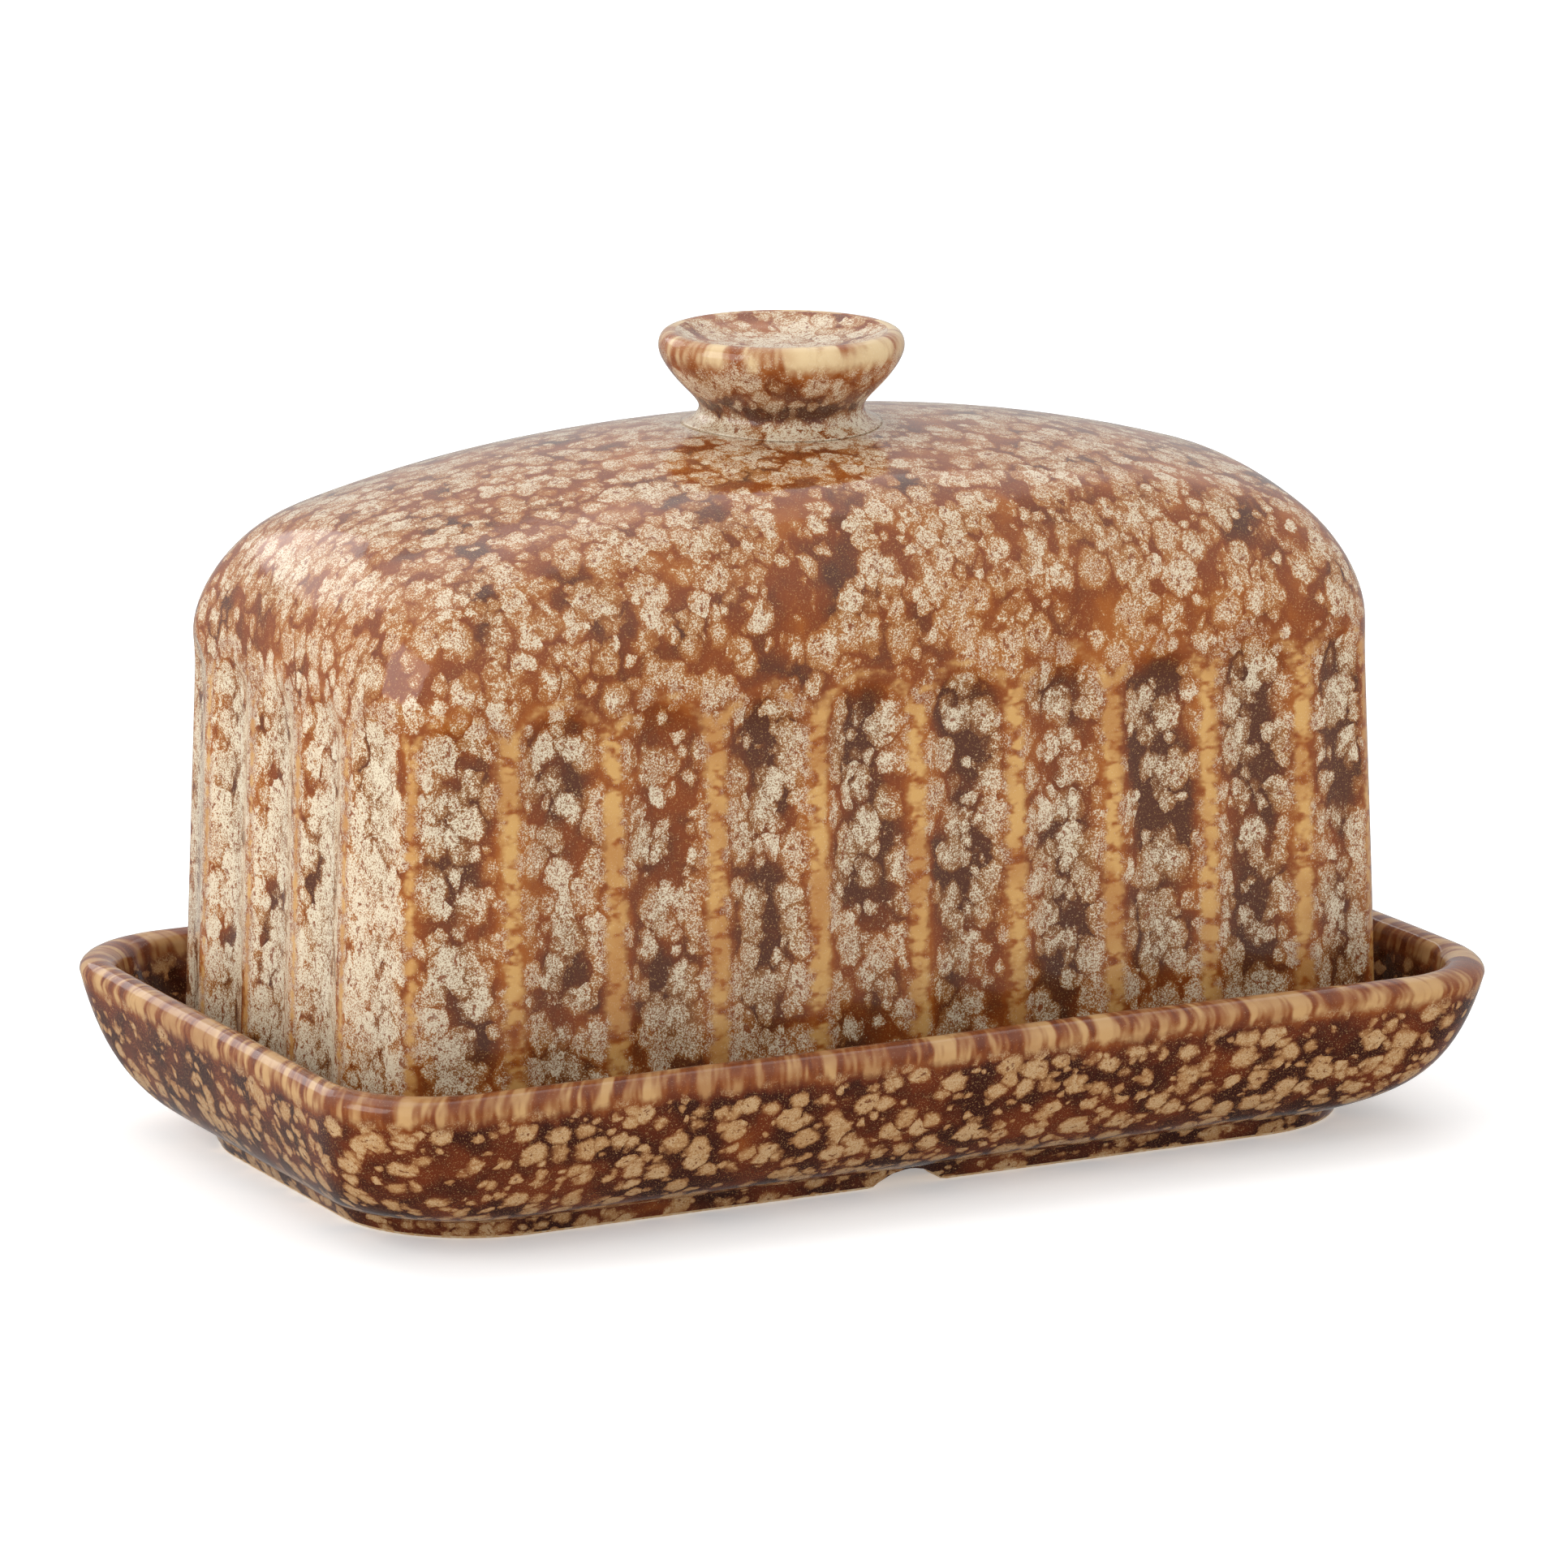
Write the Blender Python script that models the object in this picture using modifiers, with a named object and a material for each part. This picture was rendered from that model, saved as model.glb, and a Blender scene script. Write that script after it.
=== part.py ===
"""Covered butter dish in glazed stoneware: a flared tray, and a fluted cover that lifts off by its knob.

Metres, +Z up. The origin is under the middle of the tray, on the surface that the dish stands on,
and +X runs along its long side.
"""

import math

import bmesh
import bpy
from mathutils import Vector
from mathutils.geometry import interpolate_bezier

# Tray: sizes over the rim, and over the foot ring that it stands on.
TRAY_LENGTH = 0.200
TRAY_WIDTH = 0.122
TRAY_HEIGHT = 0.028
RIM_CORNER = 0.017
RIM_THICKNESS = 0.0048
FOOT_LENGTH = 0.172
FOOT_WIDTH = 0.085
FOOT_CORNER = 0.022
FOOT_HEIGHT = 0.0034
FOOT_TAPER = 0.0015
FOOT_THICKNESS = 0.0042
RECESS_HEIGHT = 0.0055
FLOOR_HEIGHT = 0.0112
TRAY_POINTS = 96

# Arch cut through the foot ring at the middle of each long side.
NOTCH_WIDTH = 0.012
NOTCH_HEIGHT = 0.0028

# Cover: sizes over the ridges at its bottom edge, and at the top of the straight wall.
COVER_LENGTH = 0.1786
COVER_WIDTH = 0.0948
COVER_CORNER = 0.0162
COVER_DRAFT = 0.0028
COVER_BOW = 0.0008
COVER_WALL = 0.0048
COVER_TOP = 0.1134
CROWN_DROP_LONG = 0.0152
CROWN_DROP_WIDE = 0.0095
CROWN_POWER = 2.2
SHOULDER_RADIUS = 0.0138
EDGE_RADIUS = 0.0012

# Upright scooped channels round the cover, with a ridge left between each two.
FLUTES = 30
FLUTE_POINTS = 6
FLUTE_WIDTH = 0.0132
FLUTE_DEPTH = 0.0016
FLUTE_TOP = 0.0806

# Knob: a flared cup, stuck on a flat seat in the middle of the crown.
SEAT_HEIGHT = 0.1126
SEAT_RADIUS = 0.0155
KNOB_RADIUS = 0.0192
KNOB_NECK_RADIUS = 0.0129
KNOB_HEIGHT = 0.0146
KNOB_STEPS = 36

# Space left between pieces that rest on each other.
GAP = 0.0003


def clear_scene():
    for old in list(bpy.data.objects):
        bpy.data.objects.remove(old, do_unlink=True)


def new_collection(name):
    collection = bpy.data.collections.new(name)
    bpy.context.scene.collection.children.link(collection)
    return collection


def glaze(name, colour, roughness):
    material = bpy.data.materials.new(name)
    material.use_nodes = True
    shader = material.node_tree.nodes["Principled BSDF"]
    shader.inputs["Base Color"].default_value = (*colour, 1.0)
    shader.inputs["Roughness"].default_value = roughness
    shader.inputs["Metallic"].default_value = 0.0
    return material


def new_object(name, mesh, collection, material=None):
    obj = bpy.data.objects.new(name, mesh)
    collection.objects.link(obj)
    if material:
        mesh.materials.append(material)
    return obj


def quadrant_point(distance, side_x, side_y, corner):
    """Point and outward normal at this distance from the middle of the +X side, in the first quadrant."""
    angle = (distance - side_y) / corner
    if angle <= 0:
        return Vector((side_x + corner, distance)), Vector((1, 0))
    if angle < math.pi / 2:
        normal = Vector((math.cos(angle), math.sin(angle)))
        return Vector((side_x, side_y)) + corner * normal, normal
    left = distance - side_y - corner * math.pi / 2
    return Vector((side_x - left, side_y + corner)), Vector((0, 1))


def outline(half_x, half_y, corner, count, bow=0.0):
    """Points and normals at even distances round a rounded rectangle, from the middle of the +X side.

    The bow makes each side swell in the middle by that much.
    """
    side_x, side_y = half_x - corner, half_y - corner
    quarter = side_x + side_y + corner * math.pi / 2
    ring = []
    for index in range(count):
        distance = 4 * quarter * index / count
        quadrant, local = divmod(distance, quarter)
        if quadrant % 2:
            local = quarter - local
        point, normal = quadrant_point(local, side_x, side_y, corner)
        swell = Vector(((point.y / half_y) ** 2, (point.x / half_x) ** 2))
        point -= bow * Vector((swell.x * point.x / half_x, swell.y * point.y / half_y))
        turn = Vector((-1 if quadrant in (1, 2) else 1, -1 if quadrant > 1 else 1))
        ring.append((point * turn, normal * turn))
    return ring


def loft(name, rings, collection, material):
    """One closed body through rings of points, with a flat cap on the first ring and on the last."""
    shape = bmesh.new()
    loops = [[shape.verts.new(point) for point in ring] for ring in rings]
    for lower, upper in zip(loops, loops[1:]):
        for index in range(len(lower)):
            after = (index + 1) % len(lower)
            shape.faces.new((lower[index], lower[after], upper[after], upper[index]))
    shape.faces.new(loops[0])
    shape.faces.new(loops[-1])
    bmesh.ops.recalc_face_normals(shape, faces=shape.faces)
    mesh = bpy.data.meshes.new(name)
    shape.to_mesh(mesh)
    shape.free()
    mesh.shade_smooth()
    mesh.set_sharp_from_angle(angle=math.radians(50))
    return new_object(name, mesh, collection, material)


def curve(start, start_handle, end_handle, end, count):
    corners = [Vector(corner) for corner in (start, start_handle, end_handle, end)]
    return [point.to_tuple() for point in interpolate_bezier(*corners, count)]


def tray_rings():
    """Rings from the recess under the tray, round the foot and the rim, to the middle of its floor."""
    foot_x, foot_y = FOOT_LENGTH / 2, FOOT_WIDTH / 2
    rings = []

    def foot_ring(inset, height):
        corner = FOOT_CORNER - inset
        ring = outline(foot_x - inset, foot_y - inset, corner, TRAY_POINTS)
        rings.append([(point.x, point.y, height) for point, _ in ring])

    def wall_ring(inset, share, height):
        """A ring of the wall, this share of the way in from the rim towards the foot."""
        half_x = TRAY_LENGTH / 2 - inset - share * (TRAY_LENGTH - FOOT_LENGTH) / 2
        half_y = TRAY_WIDTH / 2 - inset - share * (TRAY_WIDTH - FOOT_WIDTH) / 2
        corner = RIM_CORNER + share * (FOOT_CORNER - RIM_CORNER)
        ring = outline(half_x, half_y, corner, TRAY_POINTS)
        rings.append([(point.x, point.y, height) for point, _ in ring])

    edge = 0.0006
    foot_ring(FOOT_THICKNESS + 3 * edge, RECESS_HEIGHT)
    foot_ring(FOOT_THICKNESS + edge, edge)
    foot_ring(FOOT_THICKNESS, 0.0)
    foot_ring(edge, 0.0)
    foot_ring(0.0, edge)
    foot_ring(-FOOT_TAPER, FOOT_HEIGHT)
    rim_middle = RIM_THICKNESS / 2
    rim_low = TRAY_HEIGHT - rim_middle
    for share, height in curve((0.80, 0.0038), (0.56, 0.0060), (0.19, 0.0080), (0.0, rim_low), 8):
        wall_ring(0.0, share, height)
    for step in range(1, 6):
        angle = math.pi * (1 - step / 6)
        inset = rim_middle + rim_middle * math.cos(angle)
        wall_ring(inset, 0.0, rim_low + rim_middle * math.sin(angle))
    for share, height in curve((0.0, rim_low), (0.10, 0.0150), (0.20, 0.0114), (0.40, FLOOR_HEIGHT), 7):
        wall_ring(RIM_THICKNESS, share, height)
    return rings


def notch_cutter(side, collection):
    """A rod across the foot ring, whose top leaves the arch."""
    radius = ((NOTCH_WIDTH / 2) ** 2 + NOTCH_HEIGHT**2) / (2 * NOTCH_HEIGHT)
    shape = bmesh.new()
    bmesh.ops.create_cone(
        shape, cap_ends=True, segments=48, radius1=radius, radius2=radius, depth=0.016
    )
    mesh = bpy.data.meshes.new("notch_cutter")
    shape.to_mesh(mesh)
    shape.free()
    cutter = new_object(f"notch_cutter_{'front' if side < 0 else 'back'}", mesh, collection)
    cutter.location = (0, side * FOOT_WIDTH / 2, NOTCH_HEIGHT - radius)
    cutter.rotation_euler = (math.pi / 2, 0, 0)
    cutter.hide_render = True
    cutter.display_type = "WIRE"
    return cutter


def build_tray(parts, cutters):
    tray = loft("tray", tray_rings(), parts, glaze("tray_glaze", (0.30, 0.15, 0.09), 0.22))
    for side in (-1, 1):
        cut = tray.modifiers.new("drain_notch", "BOOLEAN")
        cut.operation = "DIFFERENCE"
        cut.solver = "EXACT"
        cut.object = notch_cutter(side, cutters)
    return tray


def flute_depth(index, height):
    """How far the wall is scooped in at this point round it, and at this height."""
    across = (index / FLUTE_POINTS + 0.5) % 1 - 0.5
    pitch = 2 * (COVER_LENGTH + COVER_WIDTH - (4 - math.pi) * COVER_CORNER) / FLUTES
    half_width = FLUTE_WIDTH / 2
    above = max(0.0, height - (FLUTE_TOP - half_width))
    off_centre = math.hypot(across * pitch, above) / half_width
    return FLUTE_DEPTH * max(0.0, 1 - off_centre**2)


def crown_height(point):
    """Height of the arched crown before its edge is rounded into the wall."""
    along = abs(point.x) / (COVER_LENGTH / 2)
    across = abs(point.y) / (COVER_WIDTH / 2)
    return COVER_TOP - CROWN_DROP_LONG * along**CROWN_POWER - CROWN_DROP_WIDE * across**2


def shoulder_ring(top, inset, angle):
    """A ring on the rounding between the wall and the crown: 0 is the wall's top and 90 the crown."""
    radius = SHOULDER_RADIUS - inset
    angle = math.radians(angle)
    ring = []
    for index, (point, normal) in enumerate(top):
        point = point - (inset + radius * (1 - math.cos(angle))) * normal
        height = crown_height(point) - inset - radius * (1 - math.sin(angle))
        if not inset:
            point = point - flute_depth(index, height) * math.cos(angle) * normal
        ring.append(Vector((*point, height)))
    return ring


def crown_ring(edge, radius, share, drop):
    """A ring of the crown, this share of the way from its edge to a circle in the middle."""
    ring = []
    for point in edge:
        angle = math.atan2(point.y / COVER_WIDTH, point.x / COVER_LENGTH)
        middle = Vector((radius * math.cos(angle), radius * math.sin(angle)))
        point = point.xy.lerp(middle, share)
        ring.append(Vector((*point, crown_height(point) - drop)))
    return ring


def seat_ring(height):
    """The circle where the crown meets the flat seat under the knob."""
    edge = crown_ring([Vector((*point, 0)) for point, _ in cover_outline(0)], SEAT_RADIUS, 1, 0)
    return [Vector((*point.xy, height)) for point in edge]


def cover_outline(inset):
    count = FLUTES * FLUTE_POINTS
    half_x, half_y = COVER_LENGTH / 2 - inset, COVER_WIDTH / 2 - inset
    return outline(half_x, half_y, COVER_CORNER - inset, count, COVER_BOW)


def cover_rings():
    """Rings from under the crown, down the inside, round the bottom edge and up the fluted wall."""
    low = FLOOR_HEIGHT + GAP
    bottom, top = cover_outline(0), cover_outline(COVER_DRAFT)

    def wall_ring(inset, height, clearance=0.0):
        """A ring of the wall, kept at least the clearance below the shoulder."""
        ring = []
        for index, ((start, normal), (end, _)) in enumerate(zip(bottom, top)):
            limit = crown_height(end) - SHOULDER_RADIUS
            level = min(height, limit - clearance)
            depth = inset if inset > COVER_WALL / 2 else inset + flute_depth(index, level)
            point = start.lerp(end, (level - low) / (limit - low)) - depth * normal
            ring.append(Vector((*point, level)))
        return ring

    inner_edge = shoulder_ring(top, COVER_WALL, 90)
    rings = [seat_ring(SEAT_HEIGHT - COVER_WALL), crown_ring(inner_edge, SEAT_RADIUS, 0.4, COVER_WALL)]
    rings += [shoulder_ring(top, COVER_WALL, angle) for angle in (90, 45, 0)]
    rings.append(wall_ring(COVER_WALL, low + EDGE_RADIUS))
    rings.append(wall_ring(COVER_WALL - EDGE_RADIUS, low))
    rings.append(wall_ring(EDGE_RADIUS, low))
    rings.append(wall_ring(0.0, low + EDGE_RADIUS))
    arch = FLUTE_WIDTH / 2
    for step, angle in enumerate((0, 28, 50, 70)):
        height = FLUTE_TOP - arch + arch * math.sin(math.radians(angle))
        rings.append(wall_ring(0.0, height, 0.001 * (4 - step)))
    rings += [shoulder_ring(top, 0.0, angle) for angle in (0, 22, 45, 68, 90)]
    rings += [crown_ring(rings[-1], SEAT_RADIUS, share, 0.0) for share in (0.35, 0.75)]
    rings.append(seat_ring(SEAT_HEIGHT))
    return rings


def build_cover(parts):
    return loft("cover", cover_rings(), parts, glaze("cover_glaze", (0.52, 0.35, 0.22), 0.20))


def build_knob(parts):
    """A profile turned about Z: its dished top, the round lip, the cone down to the neck and the foot."""
    low = SEAT_HEIGHT + GAP
    lip = low + KNOB_HEIGHT
    profile = [(0.0, lip - 0.0034), (0.0090, lip - 0.0030), (0.0140, lip - 0.0014)]
    profile += [(KNOB_RADIUS - 0.0036, lip - 0.0003), (KNOB_RADIUS - 0.0022, lip)]
    profile += [(KNOB_RADIUS - 0.0007, lip - 0.0010), (KNOB_RADIUS, lip - 0.0030)]
    profile += [(KNOB_RADIUS - 0.0008, lip - 0.0056), (KNOB_NECK_RADIUS + 0.0005, low + 0.0034)]
    profile += [(KNOB_NECK_RADIUS, low + 0.0022), (KNOB_NECK_RADIUS + 0.0006, low + 0.0010)]
    profile += [(SEAT_RADIUS - 0.0008, low), (0.0, low)]
    mesh = bpy.data.meshes.new("knob")
    edges = [(index, index + 1) for index in range(len(profile) - 1)]
    mesh.from_pydata([(radius, 0, height) for radius, height in profile], edges, [])
    knob = new_object("knob", mesh, parts, glaze("knob_glaze", (0.62, 0.46, 0.30), 0.20))
    turn = knob.modifiers.new("turn", "SCREW")
    turn.steps = KNOB_STEPS
    turn.render_steps = KNOB_STEPS
    turn.use_merge_vertices = True
    turn.merge_threshold = 0.00001
    turn.use_smooth_shade = True
    return knob


def main():
    clear_scene()
    parts = new_collection("butter_dish")
    cutters = new_collection("cutters")
    build_tray(parts, cutters)
    build_cover(parts)
    build_knob(parts)


main()
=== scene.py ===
import math

import bmesh
import bpy
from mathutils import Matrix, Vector, noise
from mathutils.geometry import interpolate_bezier


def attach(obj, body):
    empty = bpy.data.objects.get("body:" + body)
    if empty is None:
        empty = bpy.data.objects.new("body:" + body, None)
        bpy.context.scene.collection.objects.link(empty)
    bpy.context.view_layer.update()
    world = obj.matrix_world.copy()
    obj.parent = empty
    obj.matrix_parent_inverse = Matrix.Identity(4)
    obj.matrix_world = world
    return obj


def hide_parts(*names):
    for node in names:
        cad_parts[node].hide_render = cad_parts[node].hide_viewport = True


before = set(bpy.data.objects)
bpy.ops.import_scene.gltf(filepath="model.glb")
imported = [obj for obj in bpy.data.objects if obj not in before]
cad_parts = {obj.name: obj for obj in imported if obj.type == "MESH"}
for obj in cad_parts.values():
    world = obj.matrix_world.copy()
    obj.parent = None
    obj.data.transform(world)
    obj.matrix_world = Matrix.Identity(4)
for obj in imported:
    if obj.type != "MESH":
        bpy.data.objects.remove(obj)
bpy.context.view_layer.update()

scene = bpy.context.scene


# Studio. A long lens looks down a little on the dish's long front and its left end. The dish stands
# on a white sweep in a pale room, lit by a large softbox on the left, two more above and behind, and
# a weaker one on the right.
VIEW_TARGET = Vector((0.0006, 0.0003, 0.0548))
LAMP_TARGET = Vector((0.0, 0.0, 0.06))
VIEW_TURN = math.radians(-27.2)
VIEW_HEIGHT = math.radians(12.66)
VIEW_DISTANCE = 1.4687
LENS = 214.4
ROOM_HIGH = 0.86
ROOM_LOW = 0.06
ROOM_HIGH_FROM = 0.50
ROOM_LOW_TO = -0.7
SWEEP_HALF = 6.0
SWEEP_DROP = 0.0001
WHITE = (1.0, 1.0, 1.0, 1.0)

towards_camera = Vector((
    math.sin(VIEW_TURN) * math.cos(VIEW_HEIGHT),
    -math.cos(VIEW_TURN) * math.cos(VIEW_HEIGHT),
    math.sin(VIEW_HEIGHT),
))
camera = bpy.data.objects.new("camera", bpy.data.cameras.new("camera"))
camera.data.lens = LENS
camera.data.sensor_width = 36.0
camera.data.clip_start = 0.05
camera.data.clip_end = 20.0
camera.location = VIEW_TARGET + VIEW_DISTANCE * towards_camera
camera.rotation_euler = (-towards_camera).to_track_quat("-Z", "Y").to_euler()
scene.collection.objects.link(camera)
scene.camera = camera
scene.view_settings.view_transform = "Standard"

world = bpy.data.worlds.new("pale_room")
world.use_nodes = True
room = world.node_tree
room_place = room.nodes.new("ShaderNodeTexCoord")
room_height = room.nodes.new("ShaderNodeSeparateXYZ")
room_shade = room.nodes.new("ShaderNodeMapRange")
for name, value in (
    ("From Min", ROOM_LOW_TO), ("From Max", ROOM_HIGH_FROM),
    ("To Min", ROOM_LOW), ("To Max", ROOM_HIGH),
):
    room_shade.inputs[name].default_value = value
room.links.new(room_place.outputs["Generated"], room_height.inputs[0])
room.links.new(room_height.outputs["Z"], room_shade.inputs["Value"])
room.links.new(room_shade.outputs[0], room.nodes["Background"].inputs["Strength"])
room.nodes["Background"].inputs["Color"].default_value = WHITE
scene.world = world

sweep_shape = bmesh.new()
bmesh.ops.create_grid(sweep_shape, x_segments=1, y_segments=1, size=SWEEP_HALF)
bmesh.ops.translate(sweep_shape, verts=sweep_shape.verts, vec=(0.0, 0.0, -SWEEP_DROP))
sweep_mesh = bpy.data.meshes.new("white_sweep")
sweep_shape.to_mesh(sweep_mesh)
sweep_shape.free()
white_sweep = bpy.data.objects.new("white_sweep", sweep_mesh)
scene.collection.objects.link(white_sweep)
sweep_paint = bpy.data.materials.new("white_sweep")
sweep_paint.use_nodes = True
sweep_tree = sweep_paint.node_tree
sweep_shader = sweep_tree.nodes["Principled BSDF"]
sweep_shader.inputs["Base Color"].default_value = (0.93, 0.93, 0.93, 1.0)
sweep_shader.inputs["Roughness"].default_value = 0.9
sweep_shader.inputs["Specular IOR Level"].default_value = 0.0
sweep_shader.inputs["Emission Color"].default_value = WHITE
sweep_shader.inputs["Emission Strength"].default_value = 0.30
# Only its top is seen, so that the dish can be looked at from below.
sweep_faces = sweep_tree.nodes.new("ShaderNodeNewGeometry")
sweep_clear = sweep_tree.nodes.new("ShaderNodeBsdfTransparent")
sweep_mix = sweep_tree.nodes.new("ShaderNodeMixShader")
sweep_tree.links.new(sweep_faces.outputs["Backfacing"], sweep_mix.inputs[0])
sweep_tree.links.new(sweep_shader.outputs[0], sweep_mix.inputs[1])
sweep_tree.links.new(sweep_clear.outputs[0], sweep_mix.inputs[2])
sweep_tree.links.new(sweep_mix.outputs[0], sweep_tree.nodes["Material Output"].inputs[0])
sweep_mesh.materials.append(sweep_paint)
white_sweep.visible_glossy = False


def softbox(name, place, width, height, power, mirrored):
    """A flat lamp that faces the dish, and shows in the glaze if it is mirrored."""
    lamp = bpy.data.lights.new(name, "AREA")
    lamp.shape = "RECTANGLE"
    lamp.size = width
    lamp.size_y = height
    lamp.energy = power
    light = bpy.data.objects.new(name, lamp)
    light.location = place
    facing = LAMP_TARGET - Vector(place)
    light.rotation_euler = facing.to_track_quat("-Z", "Y").to_euler()
    light.visible_glossy = mirrored
    scene.collection.objects.link(light)


softbox("softbox_left", (-1.6, -0.1, 0.9), 1.4, 1.2, 13.0, True)
softbox("softbox_right", (0.9, -1.5, 0.8), 0.7, 0.9, 3.0, False)
softbox("softbox_top", (0.1, 0.6, 1.6), 2.2, 1.6, 8.0, True)
softbox("softbox_back", (-0.45, 1.5, 0.8), 0.9, 0.7, 3.0, True)


# Tray. A pressed stoneware dish on a tapered foot ring: its wall curves up from the foot to a flared,
# round rim, and an arch in the foot at the middle of each long side lets rinsing water out. It is
# glazed all over, but for the underside of the foot, which was wiped bare to stand in the kiln.
TRAY_HALF = Vector((0.100, 0.061))
TRAY_HEIGHT = 0.028
RIM_CORNER = 0.017
RIM_THICKNESS = 0.0048
FOOT_HALF = Vector((0.086, 0.0425))
FOOT_CORNER = 0.022
FOOT_HEIGHT = 0.0034
FOOT_TAPER = 0.0015
FOOT_THICKNESS = 0.0042
RECESS_HEIGHT = 0.0055
FLOOR_HEIGHT = 0.0112
NOTCH_HALF_WIDTH = 0.0062
NOTCH_HEIGHT = 0.0028
NOTCH_PAST_Y = 0.03
THIN_OUTSIDE_RIM = 0.0044
THIN_INSIDE_RIM = 0.0036
TRAY_WAVE = 0.0004
TRAY_WAVES_PER_METRE = 22
TRAY_DRUM = 0.093
TRAY_STEPS = 480
RIM_STEPS = 12
SAME_PLACE = 0.000001


def ramp(value, start, end):
    """0 up to start, 1 from end, and straight between."""
    return min(1.0, max(0.0, (value - start) / (end - start)))


def peak(value, middle, reach):
    """1 at the middle, and 0 from this reach away."""
    return max(0.0, 1 - abs(value - middle) / reach)


def way_round(half, corner, share):
    """Where a share of the way round a rounded rectangle is: sides passed, turn and quadrant."""
    side_x, side_y = half[0] - corner, half[1] - corner
    quarter = side_x + side_y + corner * math.pi / 2
    quadrant, local = divmod(4 * quarter * (share % 1.0), quarter)
    if quadrant % 2:
        local = quarter - local
    angle = min(math.pi / 2, max(0.0, (local - side_y) / corner))
    along_y = min(1.0, local / side_y)
    along_x = min(1.0, (quarter - local) / side_x)
    signs = Vector((-1 if quadrant in (1, 2) else 1, -1 if quadrant > 1 else 1))
    return along_x, along_y, angle, signs


def on_ring(way, half, corner, bow=0.0):
    """Point and outward direction on a rounded rectangle, whose sides bow out where bow is given."""
    along_x, along_y, angle, signs = way
    out = Vector((math.cos(angle), math.sin(angle)))
    point = Vector(((half[0] - corner) * along_x, (half[1] - corner) * along_y)) + corner * out
    along, across = point.x / half[0], point.y / half[1]
    swell = Vector((along * across**2, across * along**2))
    return (point - bow * swell) * signs, out * signs


def bend(start, start_handle, end_handle, end, count):
    """Points along a curve between two places on a section."""
    corners = [Vector((*place, 0)) for place in (start, start_handle, end_handle, end)]
    return interpolate_bezier(*corners, count)


def on_drum(turn, radius, run):
    """The place on a drum of about the piece's girth, where wisps in the glaze keep their length."""
    return Vector((radius * math.cos(turn), radius * math.sin(turn), run))


def formed_sheet(name, around, rows, place, marks):
    """A closed skin: a grid wrapped round the piece, whose vertices go where place says.

    place gives, for the share round and the row, the vertex's place, its value for each mark and its
    place on the drum.
    """
    skin = bmesh.new()
    bmesh.ops.create_grid(skin, x_segments=around, y_segments=rows - 1, size=0.5)
    layers = [skin.verts.layers.float.new(mark) for mark in marks]
    unrolled = skin.verts.layers.float_vector.new("unrolled")
    for vert in skin.verts:
        share, row = vert.co.x + 0.5, round((vert.co.y + 0.5) * (rows - 1))
        vert.co, values, vert[unrolled] = place(share, row)
        for layer, value in zip(layers, values):
            vert[layer] = value
    bmesh.ops.remove_doubles(skin, verts=skin.verts, dist=SAME_PLACE)
    bmesh.ops.recalc_face_normals(skin, faces=skin.faces)
    mesh = bpy.data.meshes.new(name)
    skin.to_mesh(mesh)
    skin.free()
    mesh.shade_smooth()
    piece = bpy.data.objects.new(name, mesh)
    scene.collection.objects.link(piece)
    return piece


# Each station of the tray's section, from the middle of its underside over the rim to the middle of
# its floor: half sizes, corner, height, how near the rim it is, and the run along the section.
tray_section = []


def tray_station(half, corner, height, rim=0.0):
    run = 0.0
    if tray_section:
        last_half, _, last_height, _, last_run = tray_section[-1]
        run = last_run + math.hypot(half[1] - last_half[1], height - last_height)
    tray_section.append((half, corner, height, rim, run))


def wall_station(inset, share, height, rim):
    half = TRAY_HALF - share * (TRAY_HALF - FOOT_HALF) - Vector((inset, inset))
    tray_station(half, RIM_CORNER + share * (FOOT_CORNER - RIM_CORNER), height, rim)


def foot_station(inset, height):
    tray_station(FOOT_HALF - Vector((inset, inset)), FOOT_CORNER - inset, height)


recess_inset = FOOT_THICKNESS + 0.003
recess_half = FOOT_HALF - Vector((recess_inset, recess_inset))
recess_corner = 0.015
for share in (0.002, 0.35, 0.7, 0.96):
    tray_station(recess_half * share, recess_corner * share, RECESS_HEIGHT)
first_foot_row = len(tray_section)
recess_edge = bend(
    (0.0024, RECESS_HEIGHT), (0.0012, RECESS_HEIGHT), (0.0010, 0.0040), (0.0006, 0.0010), 6
)
foot_inner_edge = bend((0.0004, 0.0006), (0.0003, 0.0), (0.0002, 0.0), (-0.0002, 0.0), 4)
for inset, height, _ in recess_edge + foot_inner_edge:
    foot_station(FOOT_THICKNESS + inset, height)
for inset in (0.0030, 0.0018, 0.0008):
    foot_station(inset, 0.0)
for inset, height, _ in bend((0.0005, 0.0), (0.0001, 0.0), (0.0, 0.0002), (-0.0001, 0.0006), 4):
    foot_station(inset, height)
last_bare_row = len(tray_section) - 2
for share in (0.35, 0.7, 1.0):
    foot_station(-FOOT_TAPER * share, FOOT_HEIGHT * share)
rim_radius = RIM_THICKNESS / 2
rim_low = TRAY_HEIGHT - rim_radius
outer_wall = bend((0.80, 0.0038), (0.56, 0.0060), (0.19, 0.0080), (0.0, rim_low), 20)
for share, height, _ in outer_wall:
    wall_station(0.0, share, height, peak(height, rim_low, THIN_OUTSIDE_RIM))
for step in range(1, RIM_STEPS):
    angle = math.pi * (1 - step / RIM_STEPS)
    inset = rim_radius * (1 + math.cos(angle))
    wall_station(inset, 0.0, rim_low + rim_radius * math.sin(angle), 1.0)
inner_wall = bend((0.0, rim_low), (0.10, 0.0150), (0.20, 0.0114), (0.40, FLOOR_HEIGHT), 16)
for share, height, _ in inner_wall:
    wall_station(RIM_THICKNESS, share, height, peak(height, rim_low, THIN_INSIDE_RIM))
floor_half, floor_corner, *_ = tray_section[-1]
for share in (0.93, 0.8, 0.6, 0.4, 0.2, 0.002):
    tray_station(floor_half * share, floor_corner * share, FLOOR_HEIGHT)


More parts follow.
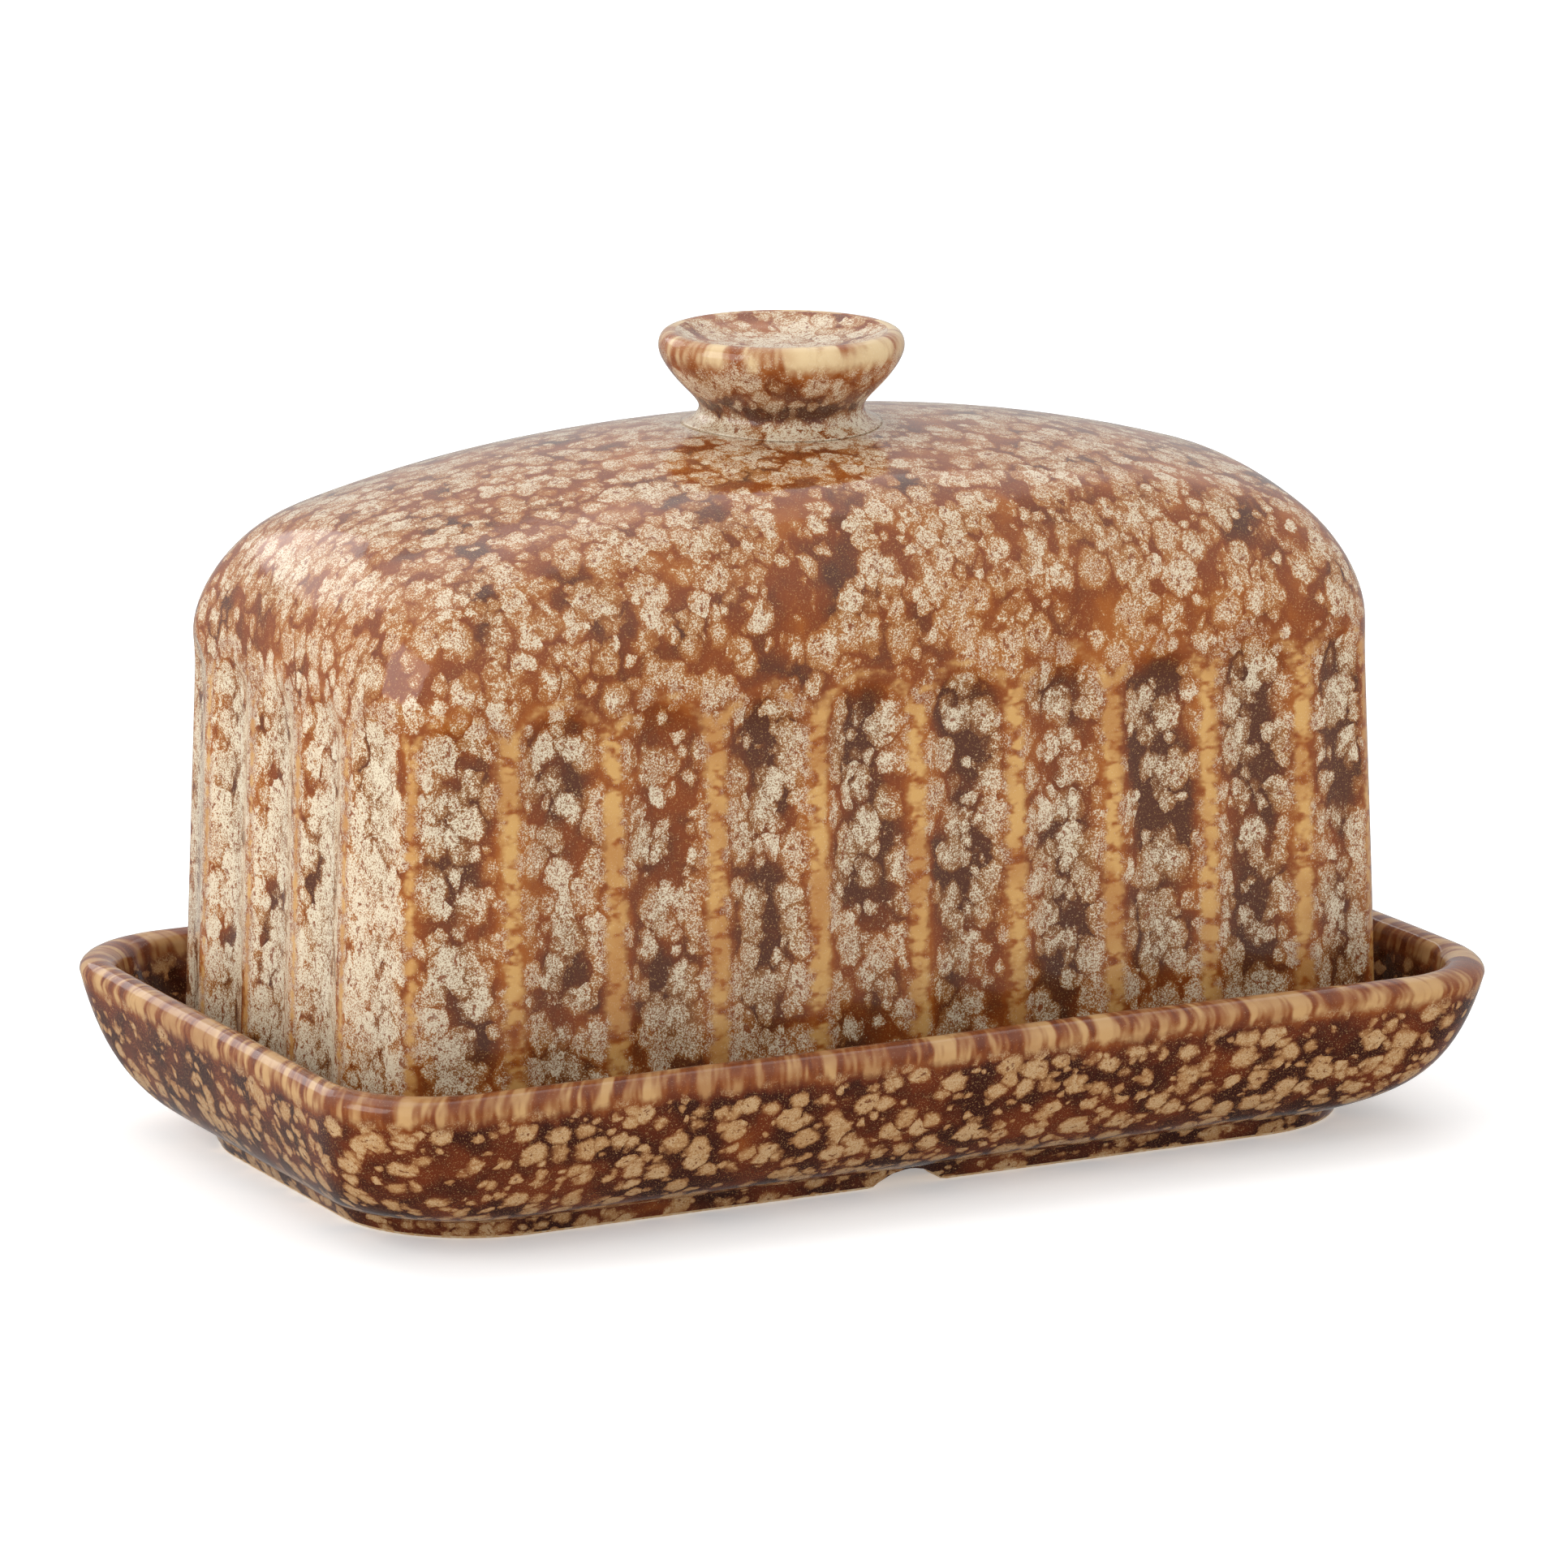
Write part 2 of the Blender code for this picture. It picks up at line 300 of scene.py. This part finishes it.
def place_on_tray(share, row):
    half, corner, height, rim, run = tray_section[row]
    point, out = on_ring(way_round(TRAY_HALF, RIM_CORNER, share), half, corner)
    if row >= first_foot_row and height < FOOT_HEIGHT and abs(point.y) > NOTCH_PAST_Y:
        height = max(height, NOTCH_HEIGHT * (1 - (point.x / NOTCH_HALF_WIDTH) ** 2))
    wave = noise.noise(Vector((*(point * TRAY_WAVES_PER_METRE), 3.1)))
    height += TRAY_WAVE * (wave - 1) * (height / TRAY_HEIGHT) ** 2
    on_foot = first_foot_row <= row <= last_bare_row and height < FOOT_HEIGHT * 0.9
    bare = 1.0 if on_foot or height < 0.0002 else 0.0
    drum = on_drum(math.tau * share, TRAY_DRUM, run)
    return Vector((*point, height)), (rim, bare), drum


tray = formed_sheet("glazed_tray", TRAY_STEPS, len(tray_section), place_on_tray, ("rim", "bare"))
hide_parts("tray")
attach(tray, "tray")


# The glaze is the same on all three pieces: a thick cream glaze that broke into speckled spots as it
# melted over a rust and maroon one. It runs down a little, and is thin and amber where an edge shed it.
def add_node(tree, kind, inputs, **settings):
    made = tree.nodes.new("ShaderNode" + kind)
    for name, value in settings.items():
        setattr(made, name, value)
    for key, value in inputs.items():
        if isinstance(value, bpy.types.NodeSocket):
            tree.links.new(value, made.inputs[key])
        else:
            made.inputs[key].default_value = value
    return made


def stretched(tree, position, factors):
    inputs = {0: position, 1: factors}
    return add_node(tree, "VectorMath", inputs, operation="MULTIPLY").outputs[0]


glaze = bpy.data.node_groups.new("mottled_glaze", "ShaderNodeTree")


def maths(operation, *values):
    return add_node(glaze, "Math", dict(enumerate(values)), operation=operation).outputs[0]


def mask(value, low, high):
    """0 up to low, 1 from high, with a soft rise between."""
    inputs = {"Value": value, "From Min": low, "From Max": high}
    return add_node(glaze, "MapRange", inputs, interpolation_type="SMOOTHSTEP").outputs[0]


def spread(value, low, high):
    """A value from 0 to 1, spread between low and high."""
    return add_node(glaze, "MapRange", {"Value": value, "To Min": low, "To Max": high}).outputs[0]


def mixed(share, first, second):
    return add_node(glaze, "Mix", {0: share, 6: first, 7: second}, data_type="RGBA").outputs[2]


def blended(share, first, second):
    """The same for two plain values."""
    return add_node(glaze, "Mix", {0: share, 2: first, 3: second}, data_type="FLOAT").outputs[0]


def shifted(position, shift):
    return add_node(glaze, "VectorMath", {0: position, 1: shift}, operation="ADD").outputs[0]


def grain(position, size, detail=2.0, rough=0.5):
    inputs = {"Vector": position, "Scale": 1 / size, "Detail": detail, "Roughness": rough}
    return add_node(glaze, "TexNoise", inputs)


for name, kind in (
    ("Thin", "Float"), ("Pool", "Float"), ("HeavyAndLight", "Float"), ("Bare", "Float"),
    ("Down", "Vector"), ("Size", "Float"), ("Spread", "Float"), ("Melt", "Float"),
    ("Froth", "Float"), ("Body", "Float"), ("Draw", "Float"), ("Depth", "Float"),
    ("Wisps", "Float"), ("Cream", "Color"), ("Honey", "Color"), ("Amber", "Color"),
    ("Rust", "Color"), ("Maroon", "Color"), ("Clay", "Color"),
):
    glaze.interface.new_socket(name, in_out="INPUT", socket_type="NodeSocket" + kind)
for name, kind in (("Color", "Color"), ("Roughness", "Float"), ("Height", "Float")):
    glaze.interface.new_socket(name, in_out="OUTPUT", socket_type="NodeSocket" + kind)
given = glaze.nodes.new("NodeGroupInput").outputs
put_out = glaze.nodes.new("NodeGroupOutput")

WANDER_SIZE = 0.0030
WANDER = 0.0022
CURD_SIZE = 0.0009
SPECK_SIZE = 0.00026
CLOUD_SIZE = 0.012
WISP_SIZE = 0.0036
RAGGEDNESS = 0.26
SPOT_GAP = 0.10
CREAM_COVERS = 0.85

here = add_node(glaze, "TexCoord", {}).outputs["Object"]
drawn = add_node(glaze, "CombineXYZ", {0: 1.0, 1: 1.0, 2: given["Draw"]}).outputs[0]
flowed = stretched(glaze, here, drawn)
wander = shifted(grain(flowed, WANDER_SIZE, 1.0).outputs["Color"], (-0.5, -0.5, -0.5))
wander = add_node(glaze, "VectorMath", {0: wander, "Scale": WANDER}, operation="SCALE").outputs[0]
flowed = shifted(flowed, wander)
curds = grain(flowed, CURD_SIZE, 2.0, 0.6).outputs[0]
specks = grain(here, SPECK_SIZE, 2.0, 0.8).outputs[0]
clouds = grain(flowed, CLOUD_SIZE, 2.0, 0.6).outputs[0]
ragged = maths("MULTIPLY", maths("SUBTRACT", curds, 0.5), RAGGEDNESS)

# Round spots of three sizes, each laid over the last with a thin gap round it. inside is how far in
# from a spot's edge a place is, in cells, and dense is how closely that spot is filled. Each size has
# its share of Size, the shift of its cells, the share of them left empty, and its radii, in cells.
inside = dense = None
for part, shift, empty, least, most in (
    (1.00, 0.0000, 0.00, 0.32, 0.56),
    (0.86, 0.0021, 0.30, 0.28, 0.48),
    (0.50, 0.0013, 0.50, 0.22, 0.46),
):
    size = maths("MULTIPLY", given["Size"], part)
    cells = add_node(glaze, "TexVoronoi", {
        "Vector": shifted(flowed, (shift, shift, shift)),
        "Scale": maths("DIVIDE", 1.0, size),
        "Randomness": 0.85,
    })
    chances = add_node(glaze, "SeparateColor", {0: cells.outputs["Color"]})
    radius = maths("ADD", spread(chances.outputs[0], least, most), given["Spread"])
    radius = maths("MULTIPLY_ADD", given["HeavyAndLight"], 0.20, radius)
    radius = maths("ADD", radius, ragged)
    spot = maths("MULTIPLY", maths("SUBTRACT", radius, cells.outputs["Distance"]), part)
    if inside is None:
        inside, dense = spot, chances.outputs[1]
    else:
        present = maths("GREATER_THAN", chances.outputs[2], empty)
        over = maths("MULTIPLY", mask(spot, -0.10, 0.01), present)
        gap = maths("SUBTRACT", inside, SPOT_GAP)
        apart = maths("MAXIMUM", blended(over, inside, spot), gap)
        missing = maths("SUBTRACT", 1.0, present)
        melted = maths("MAXIMUM", inside, maths("SUBTRACT", spot, missing))
        inside = blended(given["Melt"], apart, melted)
        dense = blended(over, dense, chances.outputs[1])

# The ground below the spots is rust, maroon where it is deep and amber where it is shallow, and each
# spot has a halo of amber.
shade = maths("ADD", clouds, given["Depth"])
shade = maths("MULTIPLY_ADD", given["Pool"], 0.17, shade)
shade = maths("MULTIPLY_ADD", ragged, 0.5, shade)
ground = mixed(mask(shade, 0.40, 0.66), given["Rust"], given["Maroon"])
ground = mixed(mask(shade, 0.42, 0.25), ground, given["Amber"])
halo = maths("MULTIPLY_ADD", given["Pool"], -0.35, 0.65)
halo = maths("MULTIPLY", mask(inside, -0.13, 0.03), halo)
colour = mixed(halo, ground, given["Amber"])

# Each spot is a froth of fine cream grains, close in the middle and scattered at its edge.
close = mask(inside, -0.11, 0.13)
colour = mixed(maths("MULTIPLY", close, given["Body"]), colour, given["Honey"])
needed = maths("MULTIPLY_ADD", dense, 0.09, given["Froth"])
needed = maths("MULTIPLY_ADD", given["HeavyAndLight"], -0.05, needed)
needed = spread(close, 0.63, needed)
froth = maths("SUBTRACT", specks, needed)
froth = maths("MULTIPLY_ADD", ragged, 0.50, froth)
cream = mask(froth, -0.07, 0.13)
whole = maths("MULTIPLY_ADD", dense, -0.06, froth)
whole = maths("MULTIPLY_ADD", inside, 0.35, whole)
whole = maths("MULTIPLY_ADD", given["Pool"], 0.05, whole)
cream_colour = mixed(mask(whole, -0.03, 0.10), given["Honey"], given["Cream"])
colour = mixed(maths("MULTIPLY", cream, CREAM_COVERS), colour, cream_colour)

# Burst bubbles near the middle of a spot, dark inside.
burst = maths("MULTIPLY", mask(curds, 0.42, 0.35), mask(inside, 0.04, 0.16))
colour = mixed(maths("MULTIPLY", burst, 0.85), colour, given["Rust"])

# Thin glaze on an edge is clear honey, crossed by rust wisps, and browns where it starts to thicken.
wisps = grain(given["Down"], WISP_SIZE, 2.0, 0.6).outputs[0]
wisps = maths("ADD", wisps, given["Wisps"])
honey = mixed(mask(wisps, 0.44, 0.62), given["Honey"], given["Amber"])
honey = mixed(mask(wisps, 0.57, 0.70), honey, given["Rust"])
honey = mixed(maths("MULTIPLY", mask(clouds, 0.42, 0.62), 0.45), honey, given["Amber"])
honey = mixed(maths("MULTIPLY", mask(specks, 0.60, 0.70), 0.3), honey, given["Cream"])
edge = maths("ADD", ragged, given["Thin"])
edge = maths("MULTIPLY_ADD", given["HeavyAndLight"], -0.28, edge)
edge = maths("MULTIPLY_ADD", maths("SUBTRACT", 0.46, wisps), 0.8, edge)
edge = maths("MULTIPLY_ADD", maths("SUBTRACT", clouds, 0.5), 0.35, edge)
uncovered = maths("MULTIPLY_ADD", cream, -0.75, 1.0)
brown = maths("MULTIPLY", mask(edge, 0.22, 0.48), uncovered)
browned = mixed(mask(clouds, 0.35, 0.6), given["Amber"], given["Rust"])
colour = mixed(maths("MULTIPLY", brown, 0.8), colour, browned)
colour = mixed(mask(edge, 0.42, 0.84), colour, honey)

# Where the glaze was wiped off, the clay is buff, dry and a little stained by the glaze beside it.
bare = mask(maths("ADD", given["Bare"], ragged), 0.40, 0.60)
clay = mixed(mask(curds, 0.35, 0.65), given["Clay"], given["Honey"])
colour = mixed(bare, colour, clay)
glaze.links.new(colour, put_out.inputs["Color"])

# The glaze is glossy, a little less so on the froth, and its surface swells and is finely pitted.
rough = blended(bare, spread(cream, 0.08, 0.17), 0.8)
glaze.links.new(rough, put_out.inputs["Roughness"])
height = maths("MULTIPLY_ADD", clouds, 2.0, maths("MULTIPLY", curds, 0.3))
glaze.links.new(height, put_out.inputs["Height"])


def srgb(red, green, blue):
    """A colour as a paint chart gives it, from 0 to 255, made linear."""
    return (*[((part / 255 + 0.055) / 1.055) ** 2.4 for part in (red, green, blue)], 1.0)


def glazed(name, masks, down, values):
    """The glazed stoneware of one piece.

    masks pairs an input with a vertex mask of the piece, and down is how much the wisps are squeezed
    across and along the drum.
    """
    material = bpy.data.materials.new(name)
    material.use_nodes = True
    tree = material.node_tree
    shader = tree.nodes["Principled BSDF"]
    shader.inputs["IOR"].default_value = 1.5
    run = add_node(tree, "Attribute", {}, attribute_name="unrolled").outputs["Vector"]
    inputs = dict(values, Down=stretched(tree, run, down))
    for key, attribute in masks:
        inputs[key] = add_node(tree, "Attribute", {}, attribute_name=attribute).outputs["Fac"]
    coat = add_node(tree, "Group", {}, node_tree=glaze)
    for key, value in inputs.items():
        if isinstance(value, bpy.types.NodeSocket):
            tree.links.new(value, coat.inputs[key])
        else:
            coat.inputs[key].default_value = value
    tree.links.new(coat.outputs["Color"], shader.inputs["Base Color"])
    tree.links.new(coat.outputs["Roughness"], shader.inputs["Roughness"])
    relief = {"Height": coat.outputs["Height"], "Strength": 0.6, "Distance": 0.00012}
    bump = add_node(tree, "Bump", relief)
    tree.links.new(bump.outputs[0], shader.inputs["Normal"])
    return material


tray_masks = [("Thin", "rim"), ("Bare", "bare")]
tray_glaze = {
    "Size": 0.0047, "Spread": -0.075, "Melt": 0.5, "Froth": 0.42, "Body": 0.62, "Draw": 1.2,
    "Depth": 0.06, "Wisps": 0.045,
    "Cream": srgb(192, 162, 122), "Honey": srgb(190, 150, 100), "Amber": srgb(132, 70, 30),
    "Rust": srgb(100, 45, 22), "Maroon": srgb(56, 25, 17), "Clay": srgb(206, 184, 150),
}
tray.data.materials.append(glazed("tray_glaze", tray_masks, (1.3, 1.3, 0.36), tray_glaze))


# Cover. A hollow slip-cast bell, open below. Its wall was scooped into 30 upright channels with round
# tops, which leave a narrow ridge between each two, and its crown is gently arched. Only the bottom
# edge, which stands on the tray's floor, is bare of glaze.
COVER_HALF = Vector((0.0893, 0.0474))
COVER_CORNER = 0.0162
COVER_DRAFT = 0.0028
COVER_BOW = 0.0008
COVER_WALL = 0.0048
COVER_FOOT = FLOOR_HEIGHT + 0.0003
COVER_TOP = 0.1134
CROWN_DROP_LONG = 0.0152
CROWN_DROP_WIDE = 0.0095
SHOULDER = 0.0138
CORNER_SHRINK = 0.55
HEAD_HALF = COVER_HALF - Vector((COVER_DRAFT, COVER_DRAFT))
HEAD_CORNER = COVER_CORNER - COVER_DRAFT
FLUTES = 30
FLUTE_HALF_WIDTH = 0.0066
FLUTE_DEPTH = 0.0016
FLUTE_TOP = 0.0806
FLUTE_STEPS = 20
FLUTE_ROUNDING = 0.02
UNEVEN_TOPS = 0.0006
UNEVEN_DEPTHS = 0.12
RIDGE_REACH = 0.0040
ARCH_EDGE_INSET = 0.0008
ARCH_EDGE_FADE = 0.42
COVER_WAVE = 0.00012
COVER_WAVES_PER_METRE = 30
COVER_DRUM = 0.079
# Extra cream on the left end: partly heavier glaze, partly painted light from the left softbox.
LEFT_END_HEAVY_AND_LIT = 0.85
SHOULDER_SHED = 0.50
SKIRT_RADIUS = 0.0158
SKIRT_HEAVY = 0.9
SKIRT_REACH = 0.007

cover_perimeter = 4 * (COVER_HALF.x + COVER_HALF.y - (2 - math.pi / 2) * COVER_CORNER)
flute_pitch = cover_perimeter / FLUTES


def crown_height(point):
    """Height of the arched crown, before its edge is rounded into the wall."""
    along, across = abs(point.x) / COVER_HALF.x, abs(point.y) / COVER_HALF.y
    return COVER_TOP - CROWN_DROP_LONG * along**2.2 - CROWN_DROP_WIDE * across**2


def scoop(share, height):
    """Depth of the channels here from 0 to 1, and how near this is to a ridge or an arch's edge."""
    place = share * FLUTES
    number = round(place) % FLUTES
    off_centre = abs(place - round(place))
    uneven = noise.noise(Vector((number * 7.3, 1.7, 0.4))) * (1 - (2 * off_centre) ** 4)
    above = max(0.0, height - (FLUTE_TOP + UNEVEN_TOPS * uneven - FLUTE_HALF_WIDTH))
    off = math.hypot(off_centre * flute_pitch, above)
    depth = 1 - (off / FLUTE_HALF_WIDTH) ** 2
    depth = (depth + math.sqrt(depth**2 + FLUTE_ROUNDING)) / (2 + FLUTE_ROUNDING)
    arch = min(1.0, above / FLUTE_HALF_WIDTH)
    ridge = flute_pitch / 2 - ARCH_EDGE_INSET * arch
    edge = peak(off, ridge, RIDGE_REACH) * (1 - ARCH_EDGE_FADE * arch)
    return depth * (1 + UNEVEN_DEPTHS * uneven), edge


def wall_top(way):
    """Height at which the wall turns into the shoulder here."""
    head, _ = on_ring(way, HEAD_HALF, HEAD_CORNER, COVER_BOW)
    return crown_height(head) - SHOULDER


def wall_place(way, height, inset=0.0):
    """Point and outward direction on the drafted wall, before it is scooped."""
    foot, out = on_ring(way, COVER_HALF, COVER_CORNER, COVER_BOW)
    head, _ = on_ring(way, HEAD_HALF, HEAD_CORNER, COVER_BOW)
    rise = (height - COVER_FOOT) / (wall_top(way) - COVER_FOOT)
    return foot.lerp(head, rise) - inset * out, out


def shoulder_place(way, angle, inset=0.0):
    """Place on the rounding from the wall, at angle 0, to the crown, at 90 degrees."""
    radius = SHOULDER - inset
    inward = radius * (1 - math.cos(angle))
    half = HEAD_HALF - Vector((inset + inward, inset + inward))
    corner = HEAD_CORNER - inset - CORNER_SHRINK * inward
    point, out = on_ring(way, half, corner, COVER_BOW)
    return point, out, crown_height(point) - inset - radius * (1 - math.sin(angle))


def zone_rows(zone, count, first, last):
    """Rows of one zone of the cover, each with how far through the zone it is."""
    way = 1 if last > first else -1
    return [(zone, step / count) for step in range(first, last + way, way)]


# The cover's section, from the middle of its inside over the lip to the middle of its crown.
cover_rows = (
    zone_rows("inner crown", 8, 8, 1) + zone_rows("inner shoulder", 6, 6, 1)
    + zone_rows("inner wall", 10, 10, 1) + zone_rows("lip", 8, 0, 8)
    + zone_rows("straight wall", 26, 1, 25) + zone_rows("arched wall", 18, 0, 18)
    + zone_rows("shoulder", 18, 1, 18) + zone_rows("crown", 16, 1, 16)
)


def heaviness_and_light(point, height):
    """How thick the glaze lies: heavy round the knob, shed by the shoulder, and heavy on the left end,
    where the extra cream is partly heavier glaze and partly painted light from the strong softbox on
    the left.
    """
    # On the left end the cream is partly painted light, a brighter end where the left softbox falls.
    heavy_and_light = LEFT_END_HEAVY_AND_LIT * ramp(-point.x / COVER_HALF.x, 0.80, 0.97) * ramp(height, 0.094, 0.074)
    heavy_and_light -= SHOULDER_SHED * peak(height, 0.084, 0.014) * (1 - heavy_and_light)
    by_knob = SKIRT_HEAVY * ramp(point.length, SKIRT_RADIUS + SKIRT_REACH, SKIRT_RADIUS)
    return max(heavy_and_light, by_knob)


def place_on_cover(share, row):
    zone, step = cover_rows[row]
    way = way_round(COVER_HALF, COVER_CORNER, share)
    top = wall_top(way)
    edge = depth = bare = 0.0
    lip = COVER_WALL / 2
    lip_top = COVER_FOOT + lip * 0.6
    inset = COVER_WALL if zone.startswith("inner") else 0.0
    if zone in ("inner crown", "crown"):
        point, out, _ = shoulder_place(way, math.pi / 2, inset)
        point = point * (1 - step)
        height = crown_height(point) - inset
    elif zone in ("inner shoulder", "shoulder"):
        angle = step * math.pi / 2
        point, out, height = shoulder_place(way, angle, inset)
        if zone == "shoulder":
            depth, edge = scoop(share, height)
            point = point - FLUTE_DEPTH * depth * math.cos(angle) * out
    elif zone == "inner wall":
        low = COVER_FOOT + lip
        height = low + (top - low) * step
        point, out = wall_place(way, height, inset)
    elif zone == "lip":
        angle = math.pi * step
        height = lip_top - (lip_top - COVER_FOOT) * math.sin(angle)
        depth, edge = scoop(share, height)
        point, out = wall_place(way, height, lip + math.cos(angle) * lip)
        point = point - FLUTE_DEPTH * depth * (1 - math.cos(angle)) / 2 * out
        bare = 1.0 if 1 < 8 * step < 7 else 0.0
    else:
        straight_top = min(FLUTE_TOP - FLUTE_HALF_WIDTH - 0.001, top - 0.004)
        low, high = (lip_top, straight_top) if zone == "straight wall" else (straight_top, top)
        height = low + (high - low) * step
        point, out = wall_place(way, height)
        depth, edge = scoop(share, height)
        point = point - FLUTE_DEPTH * depth * out
    wave = noise.noise(Vector((*point, height)) * COVER_WAVES_PER_METRE)
    point = point + COVER_WAVE * (wave - 1) * out
    drum = on_drum(math.tau * share, COVER_DRUM, height)
    return Vector((*point, height)), (edge, depth, heaviness_and_light(point, height), bare), drum


cover_marks = ("ridge", "channel", "heavy_and_light", "bare")
cover_steps = FLUTES * FLUTE_STEPS
cover = formed_sheet("fluted_cover", cover_steps, len(cover_rows), place_on_cover, cover_marks)
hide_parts("cover")
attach(cover, "cover")
cover_masks = [("Thin", "ridge"), ("Pool", "channel"), ("HeavyAndLight", "heavy_and_light"), ("Bare", "bare")]
cover_glaze = {
    "Size": 0.0048, "Spread": 0.06, "Melt": 0.0, "Froth": 0.425, "Body": 0.20, "Draw": 0.8,
    "Depth": -0.05, "Wisps": -0.02,
    "Cream": srgb(232, 221, 194), "Honey": srgb(204, 158, 94), "Amber": srgb(156, 86, 30),
    "Rust": srgb(128, 62, 24), "Maroon": srgb(84, 47, 31), "Clay": srgb(206, 184, 150),
}
cover.data.materials.append(glazed("cover_glaze", cover_masks, (1.0, 1.0, 1.7), cover_glaze))


# Knob. A flared cup with a dished top and a thick round lip. It was formed apart and stuck on with
# slip, which was smoothed out over the crown round its neck before the two were glazed together.
KNOB_RADIUS = 0.0192
KNOB_NECK = 0.0129
KNOB_TOP = 0.1275
KNOB_STEPS = 128
KNOB_DRUM = 0.018
DISH_DEPTH = 0.0034
ROOT_DEPTH = 0.0181
LIP_LOW = 0.0022
LIP_FADED = 0.0077
DISH_RADIUS = 0.0160
DISH_LOW = 0.0040
NECK_DEPTH = 0.0112
FOLLOWS_FROM = 0.0110
SKIRT_DEPTH = 0.0146
SKIRT_SINK = 0.0006

# The section as curves of radius and drop below the top: dish, lip, flare, neck and skirt.
knob_section = [(0.0, DISH_DEPTH)]
for curve in (
    ((0.0, 0.0032), (0.0080, 0.0032), (0.0130, 0.0022), (0.0156, 0.0006)),
    ((0.0156, 0.0006), (0.0162, 0.0002), (0.0166, 0.0), (0.0172, 0.0)),
    ((0.0172, 0.0), (0.0184, 0.0), (KNOB_RADIUS, 0.0010), (KNOB_RADIUS, 0.0024)),
    ((KNOB_RADIUS, 0.0024), (KNOB_RADIUS, 0.0036), (0.0184, 0.0050), (0.0172, 0.0066)),
    ((0.0172, 0.0066), (0.0154, 0.0090), (KNOB_NECK, 0.0106), (KNOB_NECK, 0.0121)),
    ((KNOB_NECK, 0.0121), (KNOB_NECK, 0.0134), (0.0142, 0.0142), (SKIRT_RADIUS, SKIRT_DEPTH)),
):
    knob_section += [(place.x, place.y) for place in bend(*curve, 9)[1:]]
knob_section.append((0.0, ROOT_DEPTH))

turned = bmesh.new()
verts = [turned.verts.new((radius, 0, KNOB_TOP - drop)) for radius, drop in knob_section]
edges = [turned.edges.new(pair) for pair in zip(verts, verts[1:])]
bmesh.ops.spin(turned, geom=verts + edges, axis=(0, 0, 1), cent=(0, 0, 0), steps=KNOB_STEPS,
               angle=math.tau, use_merge=True, use_duplicate=False)
bmesh.ops.remove_doubles(turned, verts=turned.verts, dist=SAME_PLACE)
bmesh.ops.recalc_face_normals(turned, faces=turned.faces)
ridge = turned.verts.layers.float.new("ridge")
channel = turned.verts.layers.float.new("channel")
heavy_and_light = turned.verts.layers.float.new("heavy_and_light")
unrolled = turned.verts.layers.float_vector.new("unrolled")
for vert in turned.verts:
    radius = vert.co.xy.length
    drop = KNOB_TOP - vert.co.z
    on_lip = radius > 0.0164 or drop > 0.0052
    vert[ridge] = 0.80 * ramp(drop, LIP_FADED, LIP_LOW) if on_lip else 0.0
    vert[channel] = 1.2 * peak(drop, NECK_DEPTH, 0.0020)
    vert[heavy_and_light] = SKIRT_HEAVY * ramp(drop, 0.0124, 0.0134) - 1.2 * peak(drop, NECK_DEPTH, 0.0016)
    if drop < DISH_LOW and radius < DISH_RADIUS:
        vert[heavy_and_light] = 0.5
    vert[unrolled] = on_drum(math.atan2(vert.co.y, vert.co.x), KNOB_DRUM, vert.co.z)
    # Below the neck it bends down with the arched crown.
    bent = crown_height(vert.co) - (COVER_TOP - SKIRT_SINK)
    vert.co.z += bent * ramp(drop, FOLLOWS_FROM, SKIRT_DEPTH)
knob_mesh = bpy.data.meshes.new("dished_knob")
turned.to_mesh(knob_mesh)
turned.free()
knob_mesh.shade_smooth()
knob = bpy.data.objects.new("dished_knob", knob_mesh)
scene.collection.objects.link(knob)
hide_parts("knob")
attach(knob, "cover")
knob_masks = [("Thin", "ridge"), ("Pool", "channel"), ("HeavyAndLight", "heavy_and_light")]
knob_glaze = dict(cover_glaze, Wisps=-0.01, Honey=srgb(220, 192, 146))
knob.data.materials.append(glazed("knob_glaze", knob_masks, (1.0, 1.0, 0.3), knob_glaze))

bpy.context.view_layer.update()
